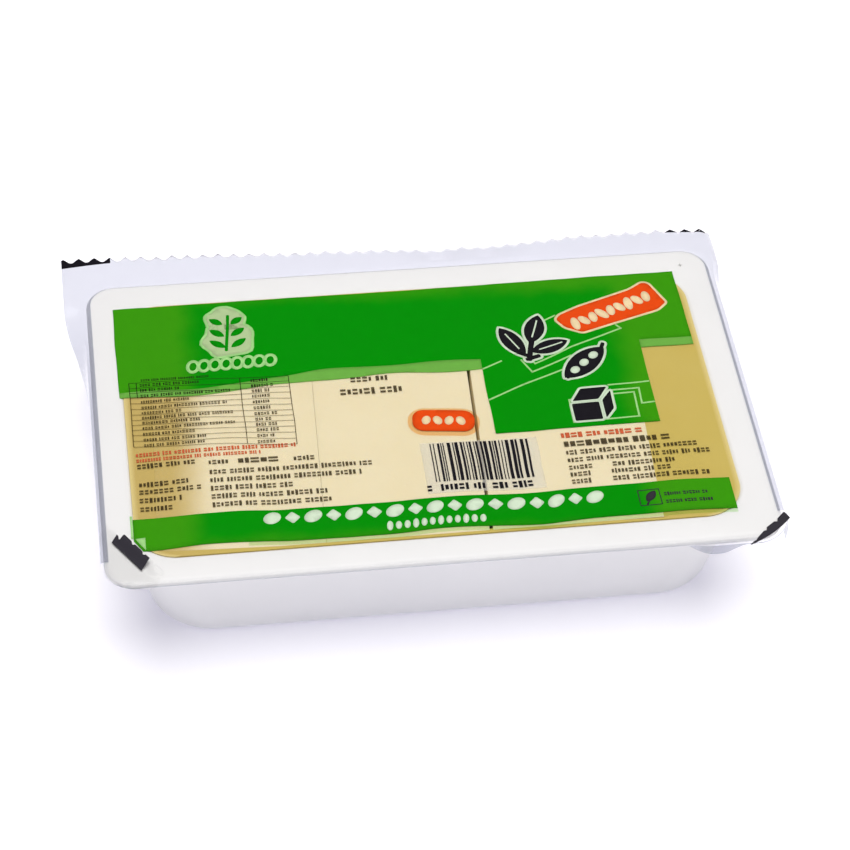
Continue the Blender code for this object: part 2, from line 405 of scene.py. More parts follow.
def clear_film(name, tint, milk, milk_colour):
    """Cast polymer film: clear, glossy, with faint drawing lines that make its shine streaky. tint is what
    one face lets through, and milk the share of cloudy scatter, which free film has and welded film lacks."""
    material, tree = new_material(name)
    coords = add_node(tree, "ShaderNodeTexCoord")
    stretch = add_node(
        tree, "ShaderNodeMapping", {"Vector": coords.outputs["Object"], "Scale": (0.15, 1, 1)}
    )
    lines = add_node(
        tree, "ShaderNodeTexNoise", {"Vector": stretch.outputs[0], "Scale": per(1.6), "Detail": 2.0}
    )
    roughness = add_node(
        tree, "ShaderNodeMapRange", {"Value": lines.outputs["Fac"], "To Min": 0.08, "To Max": 0.2}
    )
    bump = add_node(
        tree, "ShaderNodeBump", {"Height": lines.outputs["Fac"], "Strength": 0.2, "Distance": 0.03 * MM}
    )
    clear = add_node(tree, "ShaderNodeBsdfTransparent", {"Color": linear(tint)})
    scatter = add_node(tree, "ShaderNodeBsdfDiffuse", {"Color": linear(milk_colour)})
    body = add_node(tree, "ShaderNodeMixShader", {0: milk, 1: clear.outputs[0], 2: scatter.outputs[0]})
    shine = add_node(
        tree, "ShaderNodeBsdfGlossy",
        {"Color": (1, 1, 1, 1), "Roughness": roughness.outputs[0], "Normal": bump.outputs[0]},
    )
    facing = add_node(tree, "ShaderNodeLayerWeight", {"Blend": 0.5, "Normal": bump.outputs[0]})
    grazing = add_node(
        tree, "ShaderNodeMath", {0: facing.outputs["Facing"], 1: 5.0}, operation="POWER"
    )
    share = add_node(tree, "ShaderNodeMapRange", {"Value": grazing.outputs[0], "To Min": 0.012})
    whole = add_node(
        tree, "ShaderNodeMixShader", {0: share.outputs[0], 1: body.outputs[0], 2: shine.outputs[0]}
    )
    add_node(tree, "ShaderNodeOutputMaterial", {"Surface": whole.outputs[0]})
    return material


def printing_ink(name, colour, filter_colour, cover, over_whey=None):
    """Gravure ink on the film's underside: a thin even coat that lets a little of what is behind it through
    as a colour filter, with a fine mottle. over_whey is its colour where whey lies behind it."""
    material, tree = new_material(name)
    coords = add_node(tree, "ShaderNodeTexCoord")
    mottle = add_node(
        tree, "ShaderNodeTexNoise", {"Vector": coords.outputs["Object"], "Scale": per(2.5), "Detail": 3.0}
    )
    strength = add_node(
        tree, "ShaderNodeMapRange", {"Value": mottle.outputs["Fac"], "To Min": 0.93, "To Max": 1.05}
    )
    shade = linear(colour)
    if over_whey:
        stained = add_node(
            tree, "ShaderNodeMapRange",
            {
                "Value": slab_distance(tree, 67.5, 50.5, Vector((-3.5, -1)), 3), "From Min": -5 * MM,
                "From Max": 5 * MM,
            },
            interpolation_type="SMOOTHSTEP",
        )
        shade = add_node(
            tree, "ShaderNodeMix",
            {MIX_FACTOR: stained.outputs[0], MIX_A: linear(colour), MIX_B: linear(over_whey)},
            data_type="RGBA",
        ).outputs[MIX_RESULT]
    coat = add_node(
        tree, "ShaderNodeHueSaturation", {"Color": shade, "Value": strength.outputs[0]}
    )
    shader = add_node(
        tree, "ShaderNodeBsdfPrincipled",
        {"Base Color": coat.outputs[0], "Roughness": 0.6, "Specular IOR Level": 0.0},
    )
    glass = add_node(tree, "ShaderNodeBsdfTransparent", {"Color": linear(filter_colour)})
    whole = add_node(tree, "ShaderNodeMixShader", {0: cover, 1: glass.outputs[0], 2: shader.outputs[0]})
    add_node(tree, "ShaderNodeOutputMaterial", {"Surface": whole.outputs[0]})
    return material


# ---------------------------------------------------------------- making pieces


def new_piece(name, bm, material, replaces=(), more_materials=()):
    """Turns a bmesh in millimetres into a piece that rides on the pack."""
    bmesh.ops.scale(bm, vec=(MM, MM, MM), verts=bm.verts)
    mesh = bpy.data.meshes.new(name)
    bm.to_mesh(mesh)
    bm.free()
    for each in (material, *more_materials):
        mesh.materials.append(each)
    mesh.shade_smooth()
    mesh.set_sharp_from_angle(angle=radians(40))
    piece = bpy.data.objects.new(name, mesh)
    bpy.context.scene.collection.objects.link(piece)
    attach(piece, "root")
    if replaces:
        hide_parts(*replaces)
    return piece


def thicken(piece, thickness):
    solidify = piece.modifiers.new("thickness", "SOLIDIFY")
    solidify.thickness = thickness * MM
    solidify.offset = -1
    solidify.use_even_offset = True


def add_section(
    bm, length, depth, radius, z, centre=Vector((0, 0)), keep_face=False, segments=CORNER_SEGMENTS
):
    """A rounded rectangle at height z. Returns its edges."""
    before = set(bm.faces)
    corners = bmesh.ops.create_grid(bm, x_segments=1, y_segments=1, size=0.5)["verts"]
    bmesh.ops.scale(bm, vec=(length, depth, 1), verts=corners)
    bmesh.ops.translate(bm, vec=(*centre, z), verts=corners)
    bmesh.ops.bevel(
        bm, geom=corners, offset=radius, offset_type="OFFSET", affect="VERTICES",
        segments=segments, profile=0.5, material=-1,
    )
    face = next(face for face in bm.faces if face not in before)
    edges = list(face.edges)
    if not keep_face:
        bmesh.ops.delete(bm, geom=[face], context="FACES_ONLY")
    return edges


def extrude_to(bm, loop, *section):
    """Extrudes a rounded rectangle into another one, corner to corner. Returns the new edges."""
    scratch = bmesh.new()
    add_section(scratch, *section)
    places = [vert.co.copy() for vert in scratch.verts]
    scratch.free()
    made = bmesh.ops.extrude_edge_only(bm, edges=loop)["geom"]
    verts = [part for part in made if isinstance(part, bmesh.types.BMVert)]
    centre = sum((vert.co for vert in verts), Vector()) / len(verts)
    verts.sort(key=lambda vert: atan2(vert.co.y - centre.y, vert.co.x - centre.x))
    places.sort(key=lambda place: atan2(place.y, place.x))
    for vert, place in zip(verts, places):
        vert.co = place
    ends = set(verts)
    return [
        part for part in made
        if isinstance(part, bmesh.types.BMEdge) and ends.issuperset(part.verts)
    ]


def bridge(bm, sections):
    for lower, upper in zip(sections, sections[1:]):
        bmesh.ops.bridge_loops(bm, edges=lower + upper)


def dice(bm, step_x, step_y):
    """Cuts the faces along a grid, so that they can follow a curved surface."""
    for axis, step in ((0, step_x), (1, step_y)):
        places = [vert.co[axis] for vert in bm.verts]
        normal = Vector((0, 0, 0))
        normal[axis] = 1
        for line in range(floor(min(places) / step) + 1, ceil(max(places) / step)):
            bmesh.ops.bisect_plane(
                bm, geom=bm.verts[:] + bm.edges[:] + bm.faces[:], plane_co=normal * line * step,
                plane_no=normal,
            )


def ease(share):
    share = min(max(share, 0), 1)
    return share * share * (3 - 2 * share)


def beyond(x, y, half_x, half_y, radius):
    """How far a point lies outside a rounded rectangle round the origin. Negative inside."""
    past_x = abs(x) - (half_x - radius)
    past_y = abs(y) - (half_y - radius)
    outside = hypot(max(past_x, 0), max(past_y, 0))
    return outside + min(max(past_x, past_y), 0) - radius


# ---------------------------------------------------------------- tray


def wall_section(bm, z, outward, keep_face=False):
    """Section of the tray's wall at height z, outward of its inner face."""
    drop = FLANGE_TOP - z
    lean = drop * tan(DRAFT)
    radius = MOUTH_RADIUS + (FLOOR_RADIUS - MOUTH_RADIUS) * drop / FLANGE_TOP + outward
    length, depth = (size + 2 * (outward - lean) for size in MOUTH)
    return add_section(bm, length, depth, radius, z, MOUTH_CENTRE, keep_face)


def make_tray():
    """The lower skin, from the floor up the wall and out under the flange to its turned-down rim."""
    bm = bmesh.new()
    floor_loop = wall_section(bm, 0, WALL, keep_face=True)
    flange_z = FLANGE_TOP - WALL
    wall_top = wall_section(bm, flange_z, WALL)
    rim_size = (2 * (HALF_LENGTH - WALL), 2 * (HALF_DEPTH - WALL), FLANGE_RADIUS - WALL)
    bridge(bm, (floor_loop, wall_top))
    rim = extrude_to(bm, wall_top, *rim_size, flange_z)
    extrude_to(bm, rim, *rim_size, flange_z - RIM_DROP)
    for loop, width, segments in (
        (floor_loop, BASE_FILLET, 6), (wall_top, LIP_FILLET, 4), (rim, RIM_DROP * 0.8, 5)
    ):
        bmesh.ops.bevel(
            bm, geom=[edge for edge in loop if edge.is_valid], offset=width, offset_type="OFFSET",
            affect="EDGES", segments=segments, profile=0.5, material=-1,
        )
    bmesh.ops.recalc_face_normals(bm, faces=bm.faces)
    under = min(bm.faces, key=lambda face: face.calc_center_median().z)
    if under.normal.z > 0:
        bmesh.ops.reverse_faces(bm, faces=bm.faces)
    tray = new_piece("tray_shell", bm, white_polypropylene(), ["tray"])
    thicken(tray, WALL)


# ---------------------------------------------------------------- curd and whey


def slab_place():
    return Matrix.Translation((*SLAB_CENTRE, 0)) @ Matrix.Rotation(SLAB_TURN, 4, "Z")


def make_blocks(material):
    """Blocks cut from the slab, side by side, kept off the tray's wall."""
    floor_z = WALL + 0.3
    length = sum(BLOCK_WIDTHS.values()) + sum(CUT_WIDTHS)
    start = -length / 2
    for (name, width), cut in zip(BLOCK_WIDTHS.items(), (*CUT_WIDTHS, 0)):
        bm = bmesh.new()
        bmesh.ops.create_cube(bm, size=1)
        bmesh.ops.scale(bm, vec=(width, SLAB_DEPTH, FLANGE_TOP - floor_z), verts=bm.verts)
        middle = (start + width / 2, 0, (FLANGE_TOP + floor_z) / 2)
        bmesh.ops.translate(bm, vec=middle, verts=bm.verts)
        bmesh.ops.bevel(
            bm, geom=list(bm.edges), offset=BLOCK_EDGE, offset_type="OFFSET", affect="EDGES",
            segments=3, profile=0.5, material=-1,
        )
        dice(bm, BLOCK_STEP, BLOCK_STEP)
        bmesh.ops.transform(bm, matrix=slab_place(), verts=bm.verts)
        for vert in bm.verts:
            keep_in_tray(vert, 0.3)
            vert.co.z -= 0.05 + 0.05 * noise.noise(vert.co / 7)
        start += width + cut
        new_piece(name + "_block", bm, material, [name])


def keep_in_tray(vert, gap):
    """Moves a point that lies outside the tray's leaning wall, or too close to it, back inside. The gap is
    kept to the wall's strips of shallow whey."""
    drop = FLANGE_TOP - vert.co.z
    radius = MOUTH_RADIUS + (FLOOR_RADIUS - MOUTH_RADIUS) * drop / FLANGE_TOP - gap
    inset = drop * tan(DRAFT) + gap + radius
    reach_x, reach_y = (size / 2 - shore - inset for size, shore in zip(MOUTH, SHORE))
    place = vert.co.xy - MOUTH_CENTRE
    centre = Vector((min(max(place.x, -reach_x), reach_x), min(max(place.y, -reach_y), reach_y)))
    away = place - centre
    if away.length > radius:
        vert.co.xy = MOUTH_CENTRE + centre + away.normalized() * radius


def make_whey(material):
    """A ring of whey from the tray's wall, which it reaches into a little, to the slab."""
    top, heel, foot = FLANGE_TOP - 0.1, BASE_FILLET + 1, WALL + 0.2
    into_wall = 0.2
    length = sum(BLOCK_WIDTHS.values()) + sum(CUT_WIDTHS)
    bm = bmesh.new()
    layer = bm.verts.layers.float.new("shallow")
    shore = wall_section(bm, top, into_wall)
    shallow = [vert for edge in shore for vert in edge.verts]
    deep_size = (size - 2 * shore for size, shore in zip(MOUTH, SHORE))
    deep = add_section(bm, *deep_size, MOUTH_RADIUS, top, MOUTH_CENTRE)
    pocket = []
    for z in (top, foot):
        before = set(bm.verts)
        pocket.append(add_section(bm, length, SLAB_DEPTH, 0.5, z))
        bmesh.ops.transform(bm, matrix=slab_place(), verts=[v for v in bm.verts if v not in before])
        for vert in bm.verts:
            if vert not in before:
                keep_in_tray(vert, 0.1)
    heel_loop = wall_section(bm, heel, into_wall)
    floor_loop = wall_section(bm, foot, -BASE_FILLET)
    bridge(bm, (floor_loop, heel_loop, shore, deep, pocket[0], pocket[1], floor_loop))
    bmesh.ops.recalc_face_normals(bm, faces=bm.faces)
    for vert in shallow:
        vert[layer] = float(abs(vert.co.x - MOUTH_CENTRE.x) > MOUTH[0] / 2 - MOUTH_RADIUS)
    new_piece("whey_ring", bm, material, ["whey"])


# ---------------------------------------------------------------- lidding film


def sheet_edge(x):
    """The sheet's cut back edge: pointed teeth, with a short flat between them."""
    phase = (x / TOOTH_PITCH) % 1
    return SHEET_BACK + TOOTH_DEPTH * max(1 - abs(2 * phase - 1) / 0.8, 0)


def droop(x, y):
    """How far the film that leaves the flange near (x, y) turns down: almost level at the back corners,
    sagging along the back, hanging along the sides and tucked under along the front."""
    sag = cos(min(abs(x - SAG_CENTRE) / SAG_REACH, 1) * pi / 2) ** 2
    rise = ease((x + 100) / 90)
    back = BACK_LEFT_DROOP + (BACK_RIGHT_DROOP - BACK_LEFT_DROOP) * rise + SAG_DROOP * sag
    side, low, high = (LEFT_DROOP, 12, 53) if x < 0 else (RIGHT_DROOP, 40, 61)
    turned = back + (side - back) * (1 - min(max((y - low) / (high - low), 0), 1) ** 2)
    under = 1 - ease((y + HALF_DEPTH + 1) / (FLANGE_RADIUS * 1.4))
    front = FRONT_DROOP - (FRONT_DROOP - radians(80)) * ease((x - 66) / 12)
    return turned + (front - turned) * under


def lid_height(x, y):
    """The lid lies on the flange and ripples slightly over the curd and whey."""
    inside = -beyond(x - MOUTH_CENTRE.x, y - MOUTH_CENTRE.y, MOUTH[0] / 2, MOUTH[1] / 2, MOUTH_RADIUS)
    ripple = 0.1 * noise.noise((x / 17, y / 9, 0)) + 0.03 * noise.noise((x / 6, y / 4, 5))
    return LID_HEIGHT + ease(inside / 6) * ripple


def lay(x, y, lift=0, down=None):
    """Where a point of the flat sheet comes to lie, lifted off the sheet by a small distance. Past the
    flange's edge it bends down to its droop."""
    reach_x, reach_y = HALF_LENGTH - FLANGE_RADIUS, HALF_DEPTH - FLANGE_RADIUS
    centre = Vector((min(max(x, -reach_x), reach_x), min(max(y, -reach_y), reach_y)))
    away = Vector((x, y)) - centre
    past = away.length - FLANGE_RADIUS
    if past <= 0:
        return Vector((x, y, lid_height(x, y) + lift))
    outward = away.normalized()
    leaves = centre + outward * FLANGE_RADIUS
    down = droop(*leaves) if down is None else down
    gentle = ease((radians(60) - down) / radians(40))
    radius = FOLD_RADIUS + (BACK_FOLD_RADIUS - FOLD_RADIUS) * gentle
    bent = min(past / radius, down)
    straight = past - radius * bent
    flutter = 0.03 * straight * noise.noise((leaves.x / 9, leaves.y / 9, 2)) * 2
    off = lift + flutter
    out = radius * sin(bent) + straight * cos(bent) + off * sin(bent)
    fall = radius * (1 - cos(bent)) + straight * sin(bent) - off * cos(bent)
    return Vector((*(leaves + outward * out), LID_HEIGHT - fall))


def sheet_reach(leaves, outward):
    """How far the flat sheet runs past the flange's edge, at a point of that edge."""
    middle_x, middle_y = (SHEET_LEFT + SHEET_RIGHT) / 2, (SHEET_FRONT + SHEET_BACK) / 2
    half_x, half_y = (SHEET_RIGHT - SHEET_LEFT) / 2, (SHEET_BACK - SHEET_FRONT) / 2
    low, high = 0, 40
    for _ in range(24):
        reach = (low + high) / 2
        spot = leaves + outward * reach
        radius = BACK_CORNER
        if spot.y < 0:
            radius = FRONT_LEFT_CORNER if spot.x < 0 else FRONT_RIGHT_CORNER
        if beyond(spot.x - middle_x, spot.y - middle_y, half_x, half_y, radius) > 0:
            high = reach
        else:
            low = reach
    spot = leaves + outward * low
    if spot.y > SHEET_BACK - 0.01:
        low += (sheet_edge(spot.x) - SHEET_BACK) * outward.y
    if spot.y < -HALF_DEPTH and spot.x > 60:
        low = min(low, FRONT_HANG - 2.8 * ease((spot.x - 80) / 8))
    return low


def make_film(welded, free):
    """A finely divided lid, whose edge is extruded outward ring by ring: close rings through the fold over
    the flange's edge, then wider ones out to the sheet's edge."""
    bm = bmesh.new()
    size = (2 * (half - RIM_ROUND) for half in (HALF_LENGTH, HALF_DEPTH))
    add_section(bm, *size, FLANGE_RADIUS - RIM_ROUND, 0, keep_face=True, segments=72)
    dice(bm, TOOTH_PITCH / 8, 2)
    edge = [e for e in bm.edges if e.is_boundary]
    outline = {}
    for vert in {v for e in edge for v in e.verts}:
        reach_x, reach_y = HALF_LENGTH - FLANGE_RADIUS, HALF_DEPTH - FLANGE_RADIUS
        centre = Vector((min(max(vert.co.x, -reach_x), reach_x), min(max(vert.co.y, -reach_y), reach_y)))
        outward = (vert.co.xy - centre).normalized()
        leaves = centre + outward * FLANGE_RADIUS
        outline[vert] = (leaves, outward, sheet_reach(leaves, outward))
    flat = {vert: (vert.co.x, vert.co.y) for vert in bm.verts}
    fold_rings = [0.35 * k for k in range(8)]
    wide_rings = [k / 6 for k in range(1, 7)]
    for ring in fold_rings + wide_rings:
        made = bmesh.ops.extrude_edge_only(bm, edges=edge)["geom"]
        new_edges = [g for g in made if isinstance(g, bmesh.types.BMEdge)]
        new_verts = {g for g in made if isinstance(g, bmesh.types.BMVert)}
        edge = [e for e in new_edges if all(v in new_verts for v in e.verts)]
        moved = {}
        for vert in new_verts:
            old = next(e.other_vert(vert) for e in vert.link_edges if e.other_vert(vert) in outline)
            leaves, outward, reach = outline[old]
            fold_end = fold_rings[-1]
            past = ring if ring in fold_rings else fold_end + ring * (reach - fold_end)
            flat[vert] = tuple(leaves + outward * past)
            moved[vert] = outline[old]
        outline = moved
    for face in bm.faces:
        x, y = (sum(flat[vert][axis] for vert in face.verts) / len(face.verts) for axis in (0, 1))
        past = beyond(x, y, HALF_LENGTH, HALF_DEPTH, FLANGE_RADIUS)
        wrapped = fold_rings[-1] if y < FLANGE_RADIUS - HALF_DEPTH else -RIM_ROUND
        face.material_index = int(past > wrapped)
    for vert, (x, y) in flat.items():
        vert.co = lay(x, y)
    film = new_piece("lid_film", bm, welded, ["film"], more_materials=[free])
    thicken(film, FILM_THICKNESS)


# ---------------------------------------------------------------- folded corners of the film

MARK_WIDTH = 4.7  # of the black mark along the sheet's cut edge
EAR_RISE = 1.4


def notches(u):
    """Depth of the cut edge at the front, where flat teeth stand between narrow notches."""
    return 0.7 * max(1 - abs((u + 0.9) % TOOTH_PITCH - TOOTH_PITCH / 2) / 0.85, 0)


def make_left_ear(film, ink):
    """The front left corner of the sheet is folded up over the flange. Its cut edge points inward and stands
    up a little, so that the printed mark along it shows."""
    start = Vector((-97.3, -45.8))
    along = Vector((0.566, -0.824))
    inward = Vector((0.824, 0.566))
    slant = 0.49
    mark_length = 14
    rise_seen = Vector((0, 0.86))

    def cut_edge(u):
        return MARK_WIDTH - notches(u) - 1.7 * (u < 1.9)

    def spot(u, w, lift):
        """A place u along the fold line and w inward of it."""
        risen = EAR_RISE * ease(w / MARK_WIDTH) * ease((u + 9) / 6) * ease((24 - u) / 8)
        flat = start + along * (u - slant * w) + inward * w
        return lay(*(flat - rise_seen * risen), 0.2 + lift + risen)

    def flange_edge(u):
        low, high = 0, 30
        for _ in range(20):
            middle = (low + high) / 2
            place = start + along * u - inward * middle
            inside = beyond(*place, HALF_LENGTH, HALF_DEPTH, FLANGE_RADIUS) < 0
            low, high = (middle, high) if inside else (low, middle)
        return low

    for name, left, right, lift, material, slot, thickness in (
        ("film_corner_left", -5, 21, 0, film, "film", FILM_THICKNESS),
        ("corner_mark_left", 0, mark_length, 0.03, ink, "print_black", INK_THICKNESS),
    ):
        bm = bmesh.new()
        bmesh.ops.create_grid(bm, x_segments=ceil((right - left) * 5), y_segments=14, size=0.5)
        for vert in bm.verts:
            u = left + (vert.co.x + 0.5) * (right - left)
            low = 0 if slot == "print_black" else -flange_edge(u) - 1.5
            vert.co = spot(u, low + (vert.co.y + 0.5) * (cut_edge(u) - low), lift)
        piece = new_piece(name, bm, material)
        thicken(piece, thickness)


def make_right_ear(film, ink):
    """The front right corner of the sheet stands out past the flange and is folded back on itself."""
    start = Vector((101.7, -56.0))
    end = Vector((88.0, -65.1))
    along = (end - start).normalized()
    outward = Vector((-along.y, along.x))
    length = (end - start).length

    def smooth_edge(u):
        share = u / length
        return start + along * u + outward * 4.4 * share * (1 - share)

    def inner_reach(u):
        return (2.7 - notches(u + 2.2)) * min((length - u) / 9 + 0.1, 1)

    def outer_reach(u):
        return 0.5 + 3.2 * max(1 - u / length * 1.4, 0)

    for name, low, high, lift, material, slot in (
        ("film_corner_right", -1, 1, 0.25, film, "film"),
        ("corner_mark_right", -1, 0, 0.3, ink, "print_black"),
    ):
        bm = bmesh.new()
        bmesh.ops.create_grid(bm, x_segments=80, y_segments=8, size=0.5)
        for vert in bm.verts:
            u = (vert.co.x + 0.5) * length
            across = low + (vert.co.y + 0.5) * (high - low)
            reach = inner_reach(u) if across < 0 else outer_reach(u)
            spot = smooth_edge(u) + outward * across * reach
            vert.co = lay(*spot, lift, down=radians(14))
        piece = new_piece(name, bm, material)
        thicken(piece, FILM_THICKNESS if slot == "film" else INK_THICKNESS)


# ---------------------------------------------------------------- print

BAND_LEFT, BAND_RIGHT = -91.8, 87.7
BAND_BACK = 50.9
PANEL_LEFT, PANEL_RIGHT = 20.1, 71
PANEL_FRONT = -13.3
STEP_FRONT = 21.8
ROW_LEFT, ROW_RIGHT = -88.6, -39.9  # of the table


def rippled(x, y):
    """The sheet's ripples shift the print a little in plan, most at the front where they are deepest."""
    waves = 0.24 + 0.4 * sin(x / 10 + 1.6) + 0.58 * sin(x / 60 + 4) + 0.2 * sin(x / 5.8 + 0.7)
    uneven = 0.25 * noise.noise((x / 12, y / 15, 6))
    return x + 0.4 * noise.noise((x / 18, y / 14, 8)), y + waves * max((12 - y) / 50, 0) + uneven


def ink_piece(name, art, depth, material):
    """Turns flat artwork into a printed layer under the film."""
    dice(art, INK_STEP, INK_STEP)
    for vert in art.verts:
        vert.co = lay(*rippled(vert.co.x, vert.co.y), -depth)
    piece = new_piece(name, art, material)
    thicken(piece, INK_THICKNESS)


def place_art(art, verts, x, y, turn):
    place = Matrix.Translation((x, y, 0)) @ Matrix.Rotation(radians(turn), 4, "Z")
    bmesh.ops.transform(art, matrix=place, verts=verts)


def add_bar(art, x, y, length, height, radius=0, turn=0, slant=0):
    """A rectangle round (x, y), with rounded corners, leaning by a slant and turned by degrees."""
    verts = bmesh.ops.create_grid(art, x_segments=1, y_segments=1, size=0.5)["verts"]
    bmesh.ops.scale(art, vec=(length, height, 1), verts=verts)
    if radius:
        verts = bmesh.ops.bevel(
            art, geom=verts, offset=radius, offset_type="OFFSET", affect="VERTICES", segments=5,
            profile=0.5, material=-1,
        )["verts"]
    for vert in verts:
        vert.co.x += slant * vert.co.y
    place_art(art, verts, x, y, turn)


def add_oval(art, x, y, length, height, turn=0, point=0, lumps=0):
    """An oval round (x, y). A point above 0 draws its ends out like a leaf's, and lumps make it uneven."""
    verts = bmesh.ops.create_circle(art, cap_ends=True, segments=36, radius=0.5)["verts"]
    for vert in verts:
        vert.co *= 1 + lumps * noise.noise(vert.co * 3 + Vector((x, y, 0)))
        vert.co.y *= max(1 - 4 * vert.co.x**2, 0) ** point
    bmesh.ops.scale(art, vec=(length, height, 1), verts=verts)
    place_art(art, verts, x, y, turn)


def add_strip(art, columns, low, high):
    """A field between two edges, each a height or a function that gives it for every column."""
    verts = bmesh.ops.create_grid(art, x_segments=len(columns) - 1, y_segments=1, size=0.5)["verts"]
    for vert in verts:
        x = columns[round((vert.co.x + 0.5) * (len(columns) - 1))]
        edge = high if vert.co.y > 0 else low
        vert.co.xy = (x, edge(x) if callable(edge) else edge)


def spread(left, right, step=1.2):
    """Columns from left to right."""
    count = ceil((right - left) / step)
    return [left + (right - left) * k / count for k in range(count + 1)]


def add_line(art, start, end, width):
    (x0, y0), (x1, y1) = start, end
    turn = Vector((1, 0)).angle_signed(Vector((x1 - x0, y1 - y0))) * -180 / pi
    add_bar(art, (x0 + x1) / 2, (y0 + y1) / 2, hypot(x1 - x0, y1 - y0) + width, width, turn=turn)


def add_path(art, points, width):
    for start, end in zip(points, points[1:]):
        add_line(art, start, end, width)


def add_shape(art, points, x=0, y=0, radius=0, turn=0):
    """A flat shape round (x, y) with the given corners."""
    verts = [art.verts.new((*point, 0)) for point in points]
    art.faces.new(verts)
    if radius:
        verts = bmesh.ops.bevel(
            art, geom=verts, offset=radius, offset_type="OFFSET", affect="VERTICES", segments=4,
            profile=0.5, material=-1,
        )["verts"]
    place_art(art, verts, x, y, turn)


def grow(art, margin):
    """Moves the outline of every flat shape outward by a margin."""
    art.normal_update()
    for face in art.faces:
        side = 1 if face.normal.z > 0 else -1
        moves = []
        for loop in face.loops:
            before = (loop.vert.co - loop.link_loop_prev.vert.co).normalized()
            after = (loop.link_loop_next.vert.co - loop.vert.co).normalized()
            tangent = (before + after).normalized()
            reach = side * margin / max(tangent.dot(after), 0.6)
            moves.append((loop.vert, Vector((tangent.y, -tangent.x, 0)) * reach))
        for vert, move in moves:
            vert.co += move


def add_words(art, rng, left, right, y, height, weight=1):
    """A row of small plain blocks, grouped like words, in place of lettering: upright ones, and stacked pairs
    of flat ones. Weight widens them."""
    x = left
    while x < right:
        for _ in range(rng.randint(3, 9)):
            stacked = rng.random() < 0.4
            width = height * weight * (rng.uniform(0.5, 0.65) if stacked else rng.uniform(0.26, 0.44))
            if x + width > right:
                return
            if stacked:
                for level in (-0.27, 0.27):
                    add_bar(art, x + width / 2, y + height * level, width, height * 0.3)
            else:
                add_bar(art, x + width / 2, y, width, height * rng.choice((0.7, 0.85, 1)))
            x += width + height * 0.19
        x += height * 0.4


def band_front(x):
    """Front edge of the back band, which rises towards the middle of the pack."""
    return 14.2 + 4.2 * ease((x + 66) / 40) + 0.3 * sin(x / 5)


def field_front(x):
    """Front edge of the whole green field: the band, the panel and the step beside it."""
    if x < PANEL_LEFT:
        return band_front(x)
    return PANEL_FRONT if x < PANEL_RIGHT else STEP_FRONT


def pale_front(x):
    """Front edge of the pale strip along the back band."""
    return 11.6 + 2.6 * ease((x + 62) / 32) - 0.6 * cos((x + 70) / 6.5)


def make_fields(green, pale, tint, light):
    """The broad band along the back with its panel, the band along the front, the pale strips, and a painted
    highlight where the folded film corner catches the light.
    """
    art = bmesh.new()
    side = 0.01
    steps = [edge + sign * side for edge in (PANEL_LEFT, PANEL_RIGHT) for sign in (-1, 1)]
    add_strip(
        art, sorted(spread(BAND_LEFT, BAND_RIGHT) + steps), field_front,
        lambda x: BAND_BACK + 0.7 * ease(x / 80),
    )
    corner = (-90.8, -88.2)
    add_strip(
        art, sorted(spread(corner[0], 87.1) + [corner[1]]),
        lambda x: -50 + 4.1 * max(1 - (x - corner[0]) / (corner[1] - corner[0]), 0), -37.7,
    )
    ink_piece("green_fields", art, GREEN_DEPTH, green)

    art = bmesh.new()
    add_strip(art, spread(BAND_LEFT, PANEL_LEFT), pale_front, band_front)
    add_strip(art, spread(PANEL_RIGHT, BAND_RIGHT), STEP_FRONT - 3.4, STEP_FRONT)
    ink_piece("pale_strips", art, PALE_DEPTH, pale)

    art = bmesh.new()
    add_strip(art, spread(-58, 87), -51.5, -50)
    ink_piece("front_tint", art, PALE_DEPTH, tint)

    # Painted highlight, not print: a pale green triangle and a thin fringe at the front band's left end stand
    # for the glare of the folded film corner.
    art = bmesh.new()
    add_shape(art, [(-90.4, -45.0), (-87.4, -44.8), (-87.5, -49.6)])
    add_bar(art, -91.2, -40.6, 0.7, 8.6)
    ink_piece("painted_corner_highlight", art, PALE_DEPTH, light)


def make_fret(pale):
    """Thin pale lines in the panel: slanting runs that turn square corners, and nested frames."""
    art = bmesh.new()
    width = 0.6
    for path in (
        [(20.4, 14.0), (26.4, 16.6)],
        [(41.6, 32.8), (46.4, 35.0)],
        [(32.8, 16.4), (35.4, 11.0), (48.2, 17.0)],
        [(34.6, 20.2), (36.8, 14.6), (49.2, 20.8), (66.4, 27.4), (65.2, 29.0)],
        [(20.4, 0.8), (32.2, 6.0), (47.4, 12.4)],
        [(57.8, 3.2), (70.6, 3.8)],
        [(57.4, 0.9), (67.0, 1.3), (66.8, -5.2), (70.6, -5.0)],
        [(58.2, -0.7), (65.2, -0.3), (65.0, -10.6), (44.6, -11.2), (44.7, -1.7), (46.4, -1.5)],
    ):
        add_path(art, path, width)
    ink_piece("fret_lines", art, LINE_DEPTH + 0.05, pale)


